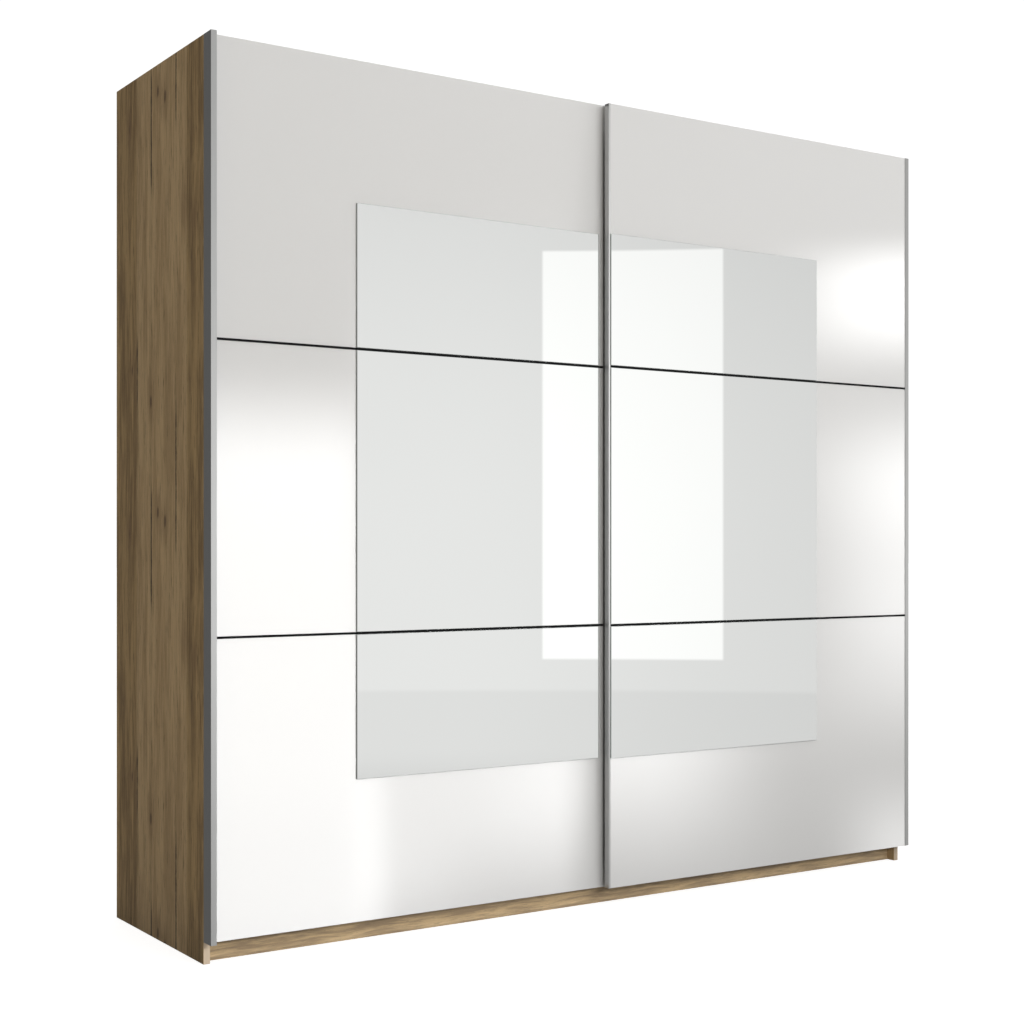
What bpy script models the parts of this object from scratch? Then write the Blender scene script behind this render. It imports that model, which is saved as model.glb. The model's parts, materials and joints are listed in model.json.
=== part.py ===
"""Two-door sliding wardrobe: a board carcass with two hanging doors that roll on a top rail.

Frame: X is the width, the doors face -Y, Z is up. The origin is at the middle of the footprint,
on the floor. The doors are top hung: each has two hangers with grooved wheels that run on the
rail above the top panel, and two push-in pins that keep its lower edge in the guide rail.
"""
import math

import bmesh
import bpy
from mathutils import Vector

# ---- driving dimensions, metres ----
WIDTH = 2.203            # over the side panels, and over the doors' outer handles
HEIGHT = 2.080           # top of the side panels and of the doors
CARCASS_DEPTH = 0.560    # front edge of the side panels to the rear of the back panels
BOARD = 0.016            # carcass board thickness
BACK_SHEET = 0.003       # fibreboard back
GAP = 0.0003             # left between pieces that touch
EASE = 0.0005            # eased edge of a board

DOOR_BOTTOM = 0.050
PANEL = 0.012            # white door panel thickness
GLASS = 0.004            # mirror thickness
REAR_FACE = 0.0145       # white face of the rear (left) door, ahead of the carcass front
FRONT_FACE = 0.0410      # white face of the front (right) door, ahead of the carcass front
OVERLAP = 0.0035         # each door passes the middle by this
TRAVEL = 1.068           # of each door

HANDLE_WIDTH = 0.014
HANDLE_FRONT = 0.0425    # front of both handle profiles, ahead of the carcass front
HANDLE_BACK = 0.0010
WALL = 0.0016            # handle profile wall
LIP = 0.0012             # thin profile wall over a panel's face

STRIP_HEIGHTS = (0.7305, 1.4000)   # middles of the black dividing strips
STRIP_LIP = 0.0055
STRIP_WEB = 0.0030
MIRROR_Z = (0.3865, 1.7430)
LEFT_MIRROR_X = (-0.7241, -0.0177)
RIGHT_MIRROR_X = (0.0023, 0.7282)

PLINTH_HEIGHT = 0.070
PLINTH_SETBACK = 0.026
TOP_PANEL_Z = 2.014      # underside of the top panel
HAT_SHELF_Z = 1.700
RIGHT_SHELVES = {"shelf_right_upper": 1.190, "shelf_right_lower": 0.640}
SHELF_FRONT = 0.045
ROD_Z = 1.655            # middle of the clothes rail
ROD_DEPTH = 0.300

WHEEL_RADIUS = 0.018     # over the flanges
GROOVE_RADIUS = 0.015    # running radius
REAR_TRACK = 0.011       # the two running ribs, behind the carcass front
FRONT_TRACK = 0.031
RIB_HEIGHT = 0.0060
RAIL_BASE = 0.0022
AXLE_RADIUS = 0.0040
BORE_RADIUS = 0.0041
FITTING_INSET = 0.080    # hangers and guides, from a door's edge
STEEL = 0.0020
FOOT = 0.0016            # guide bracket steel
REAR_GUIDE = 0.0065      # guide grooves' middles, behind the carcass front
FRONT_GUIDE = 0.02025
PIN_RADIUS = 0.0031

# ---- positions worked out from them ----
HALF = WIDTH / 2
INNER = HALF - BOARD                     # inner face of a side panel
FOREMOST = FRONT_FACE + GAP + GLASS      # the front door's mirror
CARCASS_FRONT = (FOREMOST - CARCASS_DEPTH) / 2
BACK_FACE = CARCASS_DEPTH - BACK_SHEET - GAP
TOP_FACE = TOP_PANEL_Z + BOARD           # upper face of the top panel
RAIL_Z = TOP_FACE + GAP
RIB_TOP = RAIL_Z + RAIL_BASE + RIB_HEIGHT
AXLE_Z = RIB_TOP + GAP + GROOVE_RADIUS


def behind(depth):
    """The Y of a plane this far behind the carcass front; ahead of it where negative."""
    return CARCASS_FRONT + depth


# ---- scene ----
for old in list(bpy.data.objects):
    bpy.data.objects.remove(old, do_unlink=True)

PARTS = bpy.data.collections.new("sliding_door_wardrobe")
CUTTERS = bpy.data.collections.new("cutters")
bpy.context.scene.collection.children.link(PARTS)
bpy.context.scene.collection.children.link(CUTTERS)


def material(name, colour, roughness, metallic=0.0):
    made = bpy.data.materials.new(name)
    made.use_nodes = True
    shader = made.node_tree.nodes["Principled BSDF"]
    shader.inputs["Base Color"].default_value = (*colour, 1.0)
    shader.inputs["Roughness"].default_value = roughness
    shader.inputs["Metallic"].default_value = metallic
    return made


OAK = material("oak_board", (0.40, 0.29, 0.17), 0.60)
FIBREBOARD = material("fibreboard", (0.52, 0.40, 0.26), 0.80)
WHITE_GLOSS = material("white_gloss", (0.86, 0.86, 0.85), 0.05)
MIRROR = material("mirror_glass", (0.90, 0.92, 0.91), 0.01, 1.0)
ALUMINIUM = material("satin_aluminium", (0.56, 0.56, 0.56), 0.35, 1.0)
BLACK = material("black_aluminium", (0.01, 0.01, 0.01), 0.35)
STEEL_PLATE = material("zinc_plated_steel", (0.62, 0.63, 0.65), 0.30, 1.0)
CHROME = material("chromed_steel", (0.75, 0.75, 0.76), 0.12, 1.0)
NYLON = material("nylon", (0.80, 0.80, 0.78), 0.45)
BLACK_PLASTIC = material("black_plastic", (0.02, 0.02, 0.02), 0.55)
BRUSH = material("brush_pile", (0.03, 0.03, 0.03), 0.95)


# ---- ways of making a piece ----
def add(name, data, look, at, parent=None, collection=PARTS):
    """A new object at a world point, in a collection, under an empty if one is given."""
    made = bpy.data.objects.new(name, data)
    collection.objects.link(made)
    made.parent = parent
    made.location = Vector(at) - (parent.location if parent else Vector())
    if look:
        data.materials.append(look)
    return made


def cube_mesh(name, size):
    mesh, shape = bpy.data.meshes.new(name), bmesh.new()
    bmesh.ops.create_cube(shape, size=1.0)
    bmesh.ops.scale(shape, vec=size, verts=shape.verts)
    shape.to_mesh(mesh)
    shape.free()
    return mesh


def board(name, x, y, z, look, parent=None, ease=EASE):
    """A rectangular board between two X, two Y (behind the carcass front) and two Z values."""
    y = (behind(y[0]), behind(y[1]))
    size = [high - low for low, high in (x, y, z)]
    middle = [(low + high) / 2 for low, high in (x, y, z)]
    made = add(name, cube_mesh(name, size), look, middle, parent)
    if ease:
        edge = made.modifiers.new("eased edges", "BEVEL")
        edge.width = ease
        edge.segments = 1
        edge.limit_method = "ANGLE"
    return made


def flat_outline(name, loops, span, look, parent=None, along="X"):
    """Closed loops of points extruded between two values along X or Z.

    Points are (depth behind the carcass front, z) along X, and (x, depth) along Z."""
    curve = bpy.data.curves.new(name, "CURVE")
    curve.dimensions = "2D"
    curve.fill_mode = "BOTH"
    curve.extrude = (span[1] - span[0]) / 2
    for loop in loops:
        spline = curve.splines.new("POLY")
        spline.points.add(len(loop) - 1)
        for point, (u, v) in zip(spline.points, loop):
            point.co = (u, v, 0.0, 1.0)
        spline.use_cyclic_u = True
    middle = (span[0] + span[1]) / 2
    at = (middle, CARCASS_FRONT, 0.0) if along == "X" else (0.0, CARCASS_FRONT, middle)
    made = add(name, curve, look, at, parent)
    if along == "X":
        made.rotation_euler = (math.pi / 2, 0.0, math.pi / 2)
    return made


def as_mesh(source):
    """A curve object made into a mesh object of the same name and place, its caps welded."""
    bpy.context.view_layer.update()
    shaped = source.evaluated_get(bpy.context.evaluated_depsgraph_get())
    mesh = bpy.data.meshes.new_from_object(shaped)
    shape = bmesh.new()
    shape.from_mesh(mesh)
    bmesh.ops.remove_doubles(shape, verts=shape.verts, dist=0.00001)
    shape.to_mesh(mesh)
    shape.free()
    name, place, parent = source.name, source.matrix_world.copy(), source.parent
    bpy.data.objects.remove(source, do_unlink=True)
    made = bpy.data.objects.new(name, mesh)
    PARTS.objects.link(made)
    made.parent = parent
    bpy.context.view_layer.update()
    made.matrix_world = place
    return made


def turned_mesh(name, profile, ring=False):
    """The (radius, height) points of a profile, run down its outer side; a ring's are closed."""
    mesh = bpy.data.meshes.new(name)
    count = len(profile)
    edges = [(n, (n + 1) % count) for n in range(count if ring else count - 1)]
    mesh.from_pydata([(r, 0.0, h) for r, h in profile], edges, [])
    return mesh


def turned(name, profile, at, look, parent=None, steps=24, ring=False, axis="Y"):
    """A profile turned about its own axis, which lies along world Y or Z."""
    made = add(name, turned_mesh(name, profile, ring), look, at, parent)
    if axis == "Y":
        made.rotation_euler = (math.pi / 2, 0.0, 0.0)
    screw = made.modifiers.new("turned", "SCREW")
    screw.steps = steps
    screw.render_steps = steps
    screw.use_merge_vertices = True
    screw.merge_threshold = 0.00001
    screw.use_smooth_shade = True
    return made


def tool(name, radius, length, at, along="Y", steps=24):
    """A hidden cylinder to cut with or to join on."""
    mesh, shape = bpy.data.meshes.new(name), bmesh.new()
    bmesh.ops.create_cone(shape, cap_ends=True, segments=steps, radius1=radius, radius2=radius, depth=length)
    shape.to_mesh(mesh)
    shape.free()
    made = add(name, mesh, None, at, collection=CUTTERS)
    if along == "Y":
        made.rotation_euler = (math.pi / 2, 0.0, 0.0)
    made.hide_render = True
    made.display_type = "WIRE"
    return made


def combine(made, other, operation):
    step = made.modifiers.new(operation.lower(), "BOOLEAN")
    step.operation = operation
    step.object = other
    step.solver = "EXACT"


def joint_origin(name, at):
    """An empty on a moving piece's joint axis."""
    made = bpy.data.objects.new(name, None)
    PARTS.objects.link(made)
    made.location = at
    return made


def arc(u, v, radius, start, end, steps=8):
    """Points of a circular arc, angles in degrees."""
    angles = [math.radians(start + (end - start) * n / steps) for n in range(steps + 1)]
    return [(u + radius * math.cos(a), v + radius * math.sin(a)) for a in angles]


# ---- carcass ----
def build_carcass():
    span = (-INNER + GAP, INNER - GAP)
    for side, x in (("left", (-HALF, -INNER)), ("right", (INNER, HALF))):
        board(f"side_panel_{side}", x, (0.0, BACK_FACE), (0.0, HEIGHT), OAK)
    board("top_panel", span, (0.003, BACK_FACE), (TOP_PANEL_Z, TOP_FACE), OAK)
    floor = (PLINTH_HEIGHT, PLINTH_HEIGHT + BOARD)
    board("bottom_panel", span, (PLINTH_SETBACK, BACK_FACE), floor, OAK)
    upright = (floor[1] + GAP, TOP_PANEL_Z - GAP)
    board("centre_partition", (-BOARD / 2, BOARD / 2), (0.030, BACK_FACE), upright, OAK)

    plinth = (0.0, PLINTH_HEIGHT - GAP)
    front = (PLINTH_SETBACK, PLINTH_SETBACK + BOARD)
    rear = (0.520, 0.520 + BOARD)
    board("plinth_front", span, front, plinth, OAK)
    board("plinth_rear", span, rear, plinth, OAK)
    board("plinth_centre", (-BOARD / 2, BOARD / 2), (front[1] + GAP, rear[0] - GAP), plinth, OAK)

    sheet = (CARCASS_DEPTH - BACK_SHEET, CARCASS_DEPTH)
    for side, x in (("left", (-HALF + 0.002, -GAP)), ("right", (GAP, HALF - 0.002))):
        board(f"back_panel_{side}", x, sheet, (0.030, TOP_FACE), FIBREBOARD, ease=0)


def build_interior():
    bays = {"left": (-INNER + GAP, -BOARD / 2 - GAP), "right": (BOARD / 2 + GAP, INNER - GAP)}
    depth = (SHELF_FRONT, BACK_FACE - GAP)
    for side, x in bays.items():
        board(f"hat_shelf_{side}", x, depth, (HAT_SHELF_Z, HAT_SHELF_Z + BOARD), OAK)
    for name, z in RIGHT_SHELVES.items():
        board(name, bays["right"], depth, (z, z + BOARD), OAK)
    build_clothes_rail(bays["left"])


def stadium(width, height, steps=8):
    """An upright oval centred on the clothes rail."""
    radius, straight = width / 2, (height - width) / 2
    top = arc(ROD_DEPTH, ROD_Z + straight, radius, 0, 180, steps)
    return top + arc(ROD_DEPTH, ROD_Z - straight, radius, 180, 360, steps)


def build_clothes_rail(bay):
    """An oval tube in a cradle at each end."""
    width, height, wall, cradle = 0.015, 0.030, 0.0012, 0.0025
    tube = [stadium(width, height), stadium(width - 2 * wall, height - 2 * wall)]
    flat_outline("clothes_rail", tube, (bay[0] + 0.002, bay[1] - 0.002), CHROME)
    radius, straight = width / 2 + GAP, (height - width) / 2
    low, rim = ROD_Z - straight, ROD_Z + straight + width / 2
    inside = arc(ROD_DEPTH, low, radius, 0, -180)
    outside = arc(ROD_DEPTH, low, radius + cradle, 180, 360)
    back = [(ROD_DEPTH - radius, rim), (ROD_DEPTH - radius - cradle, rim)]
    fore = [(ROD_DEPTH + radius + cradle, rim), (ROD_DEPTH + radius, rim)]
    ends = {"outer": (bay[0], bay[0] + 0.012), "inner": (bay[1] - 0.012, bay[1])}
    for name, span in ends.items():
        flat_outline(f"rail_socket_{name}", [inside + back + outside + fore], span, CHROME)


# ---- rails on the carcass ----
def rib(depth):
    """The outline of a running rib with a rounded top, from front to back."""
    half = 0.0015
    top = arc(depth, RIB_TOP - half, half, 180, 0, 6)
    return [(depth - half, RAIL_Z + RAIL_BASE)] + top + [(depth + half, RAIL_Z + RAIL_BASE)]


def build_running_rail():
    front, back = 0.004, 0.042
    base = RAIL_Z + RAIL_BASE
    outline = [(back, RAIL_Z), (front, RAIL_Z), (front, base)]
    outline += rib(REAR_TRACK) + rib(FRONT_TRACK)
    outline += [(back - WALL, base), (back - WALL, base + 0.006), (back, base + 0.006)]
    flat_outline("running_rail", [outline], (-INNER + EASE, INNER - EASE), ALUMINIUM)


def build_guide_rail():
    """One groove open upwards for the rear door's pins, one downwards for the front door's."""
    front, back, wall = 0.001, PLINTH_SETBACK - GAP, 0.0015
    floor, roof = 0.0610, 0.0595
    low, high, flange = 0.0495, 0.0715, PLINTH_HEIGHT + BOARD - GAP
    upper, lower = 0.0105, 0.0150
    outline = [
        (front, roof), (front, high), (front + wall, high), (front + wall, floor),
        (upper, floor), (upper, high), (upper + wall, high), (upper + wall, floor),
        (back - wall, floor), (back - wall, flange), (back, flange), (back, low),
        (back - wall, low), (back - wall, roof), (lower + wall, roof), (lower + wall, low),
        (lower, low), (lower, roof),
    ]
    flat_outline("guide_rail", [outline], (-INNER + EASE, INNER - EASE), ALUMINIUM)


def build_rail_stops():
    """A stepped buffer at each end of the running rail: each step stops one door's wheel."""
    wheel_at_rest = HALF - FITTING_INSET + WHEEL_RADIUS
    wheel_open = FITTING_INSET - OVERLAP - TRAVEL - WHEEL_RADIUS
    gap, end, middle = 0.0015, INNER - EASE, (REAR_TRACK + FRONT_TRACK) / 2 - 0.0020
    near, far = wheel_at_rest + gap, -wheel_open + gap
    front, back = 0.005, 0.0385
    left = [(-end, front), (-near, front), (-near, middle), (-far, middle), (-far, back), (-end, back)]
    right = [(end, front), (far, front), (far, middle), (near, middle), (near, back), (end, back)]
    z = (RIB_TOP + EASE, RIB_TOP + 0.020)
    for side, outline in (("left", left), ("right", right)):
        flat_outline(f"rail_stop_{side}", [outline], z, BLACK_PLASTIC, along="Z")


def build_wall_brackets():
    """Steel angles on the top panel that tie the wardrobe to the wall."""
    back, low = BACK_FACE, TOP_FACE + GAP
    outline = [
        (back, low), (back, low + 0.045), (back - STEEL, low + 0.045),
        (back - STEEL, low + STEEL), (back - 0.050, low + STEEL), (back - 0.050, low),
    ]
    for side, x in (("left", -0.80), ("right", 0.80)):
        angle = as_mesh(flat_outline(f"wall_bracket_{side}", [outline], (x - 0.015, x + 0.015), STEEL_PLATE))
        across = tool(f"{side} bracket wall hole", 0.0030, 0.02, (x, behind(back), low + 0.030), steps=16)
        combine(angle, across, "DIFFERENCE")
        down = tool(f"{side} bracket board hole", 0.0025, 0.02, (x, behind(back - 0.032), low), "Z", 16)
        combine(angle, down, "DIFFERENCE")


# ---- doors ----
def handle_outline(side, slot_at_back):
    """The deep outer profile: a slot that grips the panel, and a finger recess beside it.

    The rear door has the slot at the back, the front door at the front."""
    def turn(depth):
        return -depth if slot_at_back else -(HANDLE_FRONT + HANDLE_BACK - depth)

    slot = PANEL + 2 * GAP
    tips = (HANDLE_BACK, HANDLE_BACK + LIP, HANDLE_BACK + LIP + slot, HANDLE_BACK + LIP + slot + WALL,
            HANDLE_FRONT - WALL, HANDLE_FRONT)
    outer, wall, inner = HALF, HALF - WALL, HALF - HANDLE_WIDTH
    loop = [
        (outer, tips[0]), (inner, tips[0]), (inner, tips[1]), (wall, tips[1]), (wall, tips[2]),
        (inner, tips[2]), (inner, tips[3]), (wall, tips[3]), (wall, tips[4]), (inner, tips[4]),
        (inner, tips[5]), (outer, tips[5]),
    ]
    return [(side * x, turn(depth)) for x, depth in loop]


def edge_outline(side, face, back):
    """The thin profile on a door's inner edge: a lip over the panel's face, and one behind it."""
    reach, lip = 0.0055, 0.0009
    edge = -side * OVERLAP
    front = face + GAP + lip
    behind_panel = face - PANEL - GAP
    loop = [
        (0.0, front), (reach, front), (reach, front - lip), (LIP, front - lip), (LIP, behind_panel),
        (reach, behind_panel), (reach, behind_panel - LIP), (LIP, behind_panel - LIP),
        (LIP, back), (0.0, back),
    ]
    if back >= behind_panel - LIP - GAP:
        loop = loop[:7] + [(0.0, behind_panel - LIP)]
    return [(edge + side * x, -depth) for x, depth in loop]


def strip_outline(face, z):
    """A black H profile between two panels, seen as a thin line on the door's face."""
    lip, web, rear = STRIP_LIP / 2, STRIP_WEB / 2, 0.006
    front, back, thin = -face - GAP, -face + PANEL + GAP, 0.0010
    return [
        (front - thin, z - lip), (front - thin, z + lip), (front, z + lip), (front, z + web),
        (back, z + web), (back, z + rear), (back + thin, z + rear), (back + thin, z - rear),
        (back, z - rear), (back, z - web), (front, z - web), (front, z - lip),
    ]


def build_panels(door, side, face, mirror_x, origin):
    outer = HALF - WALL - GAP
    inner = OVERLAP - LIP - GAP
    x = (-outer, inner) if side < 0 else (-inner, outer)
    low, high = STRIP_HEIGHTS
    clear = STRIP_WEB / 2 + GAP
    rows = {
        "bottom": (DOOR_BOTTOM, low - clear),
        "middle": (low + clear, high - clear),
        "top": (high + clear, HEIGHT),
    }
    for row, z in rows.items():
        board(f"{door}_panel_{row}", x, (-face, -face + PANEL), z, WHITE_GLOSS, origin)
    clear = STRIP_LIP / 2 + EASE
    rows = {
        "bottom": (MIRROR_Z[0], low - clear),
        "middle": (low + clear, high - clear),
        "top": (high + clear, MIRROR_Z[1]),
    }
    y = (-face - GAP - GLASS, -face - GAP)
    for row, z in rows.items():
        board(f"{door}_mirror_{row}", mirror_x, y, z, MIRROR, origin)
    outer, inner = HALF - HANDLE_WIDTH - EASE, -OVERLAP + 0.0055 + EASE
    x = (-outer, -inner) if side < 0 else (inner, outer)
    for row, z in zip(("lower", "upper"), STRIP_HEIGHTS):
        flat_outline(f"{door}_strip_{row}", [strip_outline(face, z)], x, BLACK, origin)


def build_profiles(door, side, face, edge_back, origin):
    z = (DOOR_BOTTOM, HEIGHT)
    handle = handle_outline(side, slot_at_back=side < 0)
    flat_outline(f"{door}_handle_profile", [handle], z, ALUMINIUM, origin, along="Z")
    edge = edge_outline(side, face, edge_back)
    flat_outline(f"{door}_edge_profile", [edge], z, ALUMINIUM, origin, along="Z")


def add_axle(hanger, x, start, track):
    """The riveted axle: a spacer against the plate, the shaft, and the head that keeps the wheel on."""
    hub = 0.0052
    spacer_end, head_start = track - hub - 0.0004, track + hub + 0.0004
    stretches = {
        "spacer": (0.0070, start - 0.0010, spacer_end),
        "shaft": (AXLE_RADIUS, start - 0.0010, head_start + 0.0010),
        "head": (0.0065, head_start, head_start + 0.0018),
    }
    for name, (radius, low, high) in stretches.items():
        at = (x, behind((low + high) / 2), AXLE_Z)
        combine(hanger, tool(f"{hanger.name} {name}", radius, high - low, at), "UNION")


def rear_hanger(name, x, origin):
    """A flat plate on the back of the rear door."""
    back = -REAR_FACE + PANEL + GAP
    outline = [(back, 1.990), (back + STEEL, 1.990), (back + STEEL, 2.068), (back, 2.068)]
    plate = as_mesh(flat_outline(name, [outline], (x - 0.020, x + 0.020), STEEL_PLATE, origin))
    add_axle(plate, x, back + STEEL, REAR_TRACK)


def front_hanger(name, x, origin):
    """A bracket on the back of the front door that reaches over the rear door to its own rib."""
    back, leg = -FRONT_FACE + PANEL + GAP, 0.0215
    under, over, tip = HEIGHT + 0.0015, HEIGHT + 0.0015 + STEEL, 2.042
    outline = [
        (back, 1.990), (back + STEEL, 1.990), (back + STEEL, under), (leg, under), (leg, tip),
        (leg + STEEL, tip), (leg + STEEL, over), (back, over),
    ]
    bridge = as_mesh(flat_outline(name, [outline], (x - 0.014, x + 0.014), STEEL_PLATE, origin))
    add_axle(bridge, x, leg + STEEL, FRONT_TRACK)


def wheel_profile():
    """A grooved wheel with a recessed web and a hub, as a closed ring about its bore."""
    flange, half = WHEEL_RADIUS, 0.0048
    right = [
        (BORE_RADIUS, 0.0052), (0.0075, 0.0052), (0.0082, 0.0040), (0.0140, 0.0040),
        (0.0150, half), (flange, half), (flange, 0.0042), (GROOVE_RADIUS, 0.0019),
    ]
    return right + [(r, -h) for r, h in reversed(right)]


def build_hangers(door, side, track, hanger, origin):
    ends = {"outer": side * (HALF - FITTING_INSET), "inner": side * (FITTING_INSET - OVERLAP)}
    for end, x in ends.items():
        hanger(f"{door}_hanger_{end}", x, origin)
        at = Vector((x, behind(track), AXLE_Z))
        spin = joint_origin(f"{door} {end} wheel axis", at - origin.location)
        spin.parent = origin
        wheel = turned(f"{door}_wheel_{end}", wheel_profile(), at, NYLON, None, ring=True)
        wheel.parent = spin
        wheel.location = (0.0, 0.0, 0.0)
    return ends


def rear_guide(name, x, origin):
    """A small angle on the rear door's back that holds a pin over the upper groove."""
    back, low = -REAR_FACE + PANEL + GAP, 0.0735
    outline = [
        (back, low), (0.0125, low), (0.0125, low + FOOT), (back + FOOT, low + FOOT),
        (back + FOOT, 0.112), (back, 0.112),
    ]
    angle = as_mesh(flat_outline(name, [outline], (x - 0.018, x + 0.018), STEEL_PLATE, origin))
    hole = tool(f"{name} pin hole", PIN_RADIUS + 0.00015, 0.01, (x, behind(REAR_GUIDE), low), "Z", 16)
    combine(angle, hole, "DIFFERENCE")
    return low + FOOT + GAP, 1


def front_guide(name, x, origin):
    """An angle that passes under the rear door and holds a pin in the lower groove."""
    back, low = -FRONT_FACE + PANEL + GAP, 0.0465
    outline = [
        (back, low), (0.0252, low), (0.0252, low + FOOT), (back + FOOT, low + FOOT),
        (back + FOOT, 0.100), (back, 0.100),
    ]
    angle = as_mesh(flat_outline(name, [outline], (x - 0.018, x + 0.018), STEEL_PLATE, origin))
    hole = tool(f"{name} pin hole", PIN_RADIUS + 0.00015, 0.01, (x, behind(FRONT_GUIDE), low), "Z", 16)
    combine(angle, hole, "DIFFERENCE")
    return low - GAP, -1


def pin_profile(up):
    """A headed nylon pin. Its origin is under the head, and its tip points down, or up if up is -1."""
    length, head, tip = 0.0121 if up > 0 else 0.0115, 0.0038, 0.0008
    points = [
        (0.0, head), (0.0042, head), (0.0050, head - tip), (0.0050, 0.0), (PIN_RADIUS, 0.0),
        (PIN_RADIUS, tip - length), (PIN_RADIUS - tip, -length), (0.0, -length),
    ]
    return points if up > 0 else [(r, -h) for r, h in reversed(points)]


def build_guides(door, groove, guide, ends, origin):
    for end, x in ends.items():
        shoulder, up = guide(f"{door}_guide_{end}", x, origin)
        at = (x, behind(groove), shoulder)
        turned(f"{door}_guide_pin_{end}", pin_profile(up), at, NYLON, origin, steps=16, axis="Z")


def build_left_door():
    """The rear door."""
    origin = joint_origin("left_door_slide", (-HALF / 2, behind(-REAR_FACE), AXLE_Z))
    build_panels("left_door", -1, REAR_FACE, LEFT_MIRROR_X, origin)
    build_profiles("left_door", -1, REAR_FACE, REAR_FACE - PANEL - GAP, origin)
    ends = build_hangers("left_door", -1, REAR_TRACK, rear_hanger, origin)
    build_guides("left_door", REAR_GUIDE, rear_guide, ends, origin)


def build_right_door():
    """The front door, with the brush that closes the gap to the rear door."""
    origin = joint_origin("right_door_slide", (HALF / 2, behind(-FRONT_FACE), AXLE_Z))
    edge_back = 0.0245
    build_panels("right_door", 1, FRONT_FACE, RIGHT_MIRROR_X, origin)
    build_profiles("right_door", 1, FRONT_FACE, edge_back, origin)
    ends = build_hangers("right_door", 1, FRONT_TRACK, front_hanger, origin)
    build_guides("right_door", FRONT_GUIDE, front_guide, ends, origin)
    x = (-OVERLAP + LIP + GAP, -OVERLAP + LIP + GAP + 0.0040)
    y = (-FRONT_FACE + PANEL + 2 * GAP + LIP, -REAR_FACE - GLASS - 0.0013)
    board("right_door_brush_seal", x, y, (DOOR_BOTTOM + 0.004, HEIGHT - 0.004), BRUSH, origin, ease=0)


build_carcass()
build_interior()
build_running_rail()
build_guide_rail()
build_rail_stops()
build_wall_brackets()
build_left_door()
build_right_door()
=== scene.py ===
"""Looks of the two-door sliding wardrobe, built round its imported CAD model.

The boards, panels and mirrors are the CAD nodes themselves with procedural finishes. Profiles, wheels
and fittings are shown by finer copies of the CAD shapes with rounded edges, and screws, nails, cam caps
and brush bristles are added. Everything is in metres, in the CAD frame: the doors face -Y, Z is up.
"""
import json
import math
import random

import bmesh
import bpy
from mathutils import Matrix, Vector


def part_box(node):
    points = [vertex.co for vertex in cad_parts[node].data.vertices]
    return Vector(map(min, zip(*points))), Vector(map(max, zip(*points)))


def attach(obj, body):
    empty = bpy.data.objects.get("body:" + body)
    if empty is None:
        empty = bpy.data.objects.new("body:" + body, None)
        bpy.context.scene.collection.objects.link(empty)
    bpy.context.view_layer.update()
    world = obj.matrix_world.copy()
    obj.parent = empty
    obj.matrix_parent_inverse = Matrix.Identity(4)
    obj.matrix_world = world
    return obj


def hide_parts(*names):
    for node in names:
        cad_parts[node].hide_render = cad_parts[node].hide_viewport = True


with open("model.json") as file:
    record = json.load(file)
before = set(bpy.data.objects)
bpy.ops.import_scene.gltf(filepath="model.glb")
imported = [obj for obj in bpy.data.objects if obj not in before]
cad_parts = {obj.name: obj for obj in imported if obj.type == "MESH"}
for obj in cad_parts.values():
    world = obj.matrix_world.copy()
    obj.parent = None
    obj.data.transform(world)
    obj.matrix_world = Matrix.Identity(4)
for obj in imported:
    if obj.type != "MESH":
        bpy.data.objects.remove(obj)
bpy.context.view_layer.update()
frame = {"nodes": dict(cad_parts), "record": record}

NODES = frame["nodes"]
BODY_OF = {node: body for body, nodes in frame["record"]["behaviour"]["bodies"].items() for node in nodes}
DOORS = ("left_door", "right_door")
ROWS = ("top", "middle", "bottom")               # of a door's panels and mirrors
ENDS = ("outer", "inner")                        # of a door or the clothes rail
SIDES = ("left", "right")
# the boards with cam caps on their undersides
CAPPED_BOARDS = ("top_panel", "hat_shelf_left", "hat_shelf_right", "shelf_right_upper", "shelf_right_lower")

HALF_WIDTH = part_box("side_panel_right")[1].x
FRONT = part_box("side_panel_left")[0].y           # the carcass front plane
PANEL_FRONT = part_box("left_door_panel_top")[0].y
EYE = Vector((-2.5352, -3.6809, 0.9385))         # the camera
EYE_YAW = 33.429                                 # degrees from +Y towards +X
LENS = 57.376                                    # millimetres, on a sensor 36 mm wide
LENS_RISE = 0.03207                              # upward shift, as a share of the image width

random.seed(7)


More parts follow.
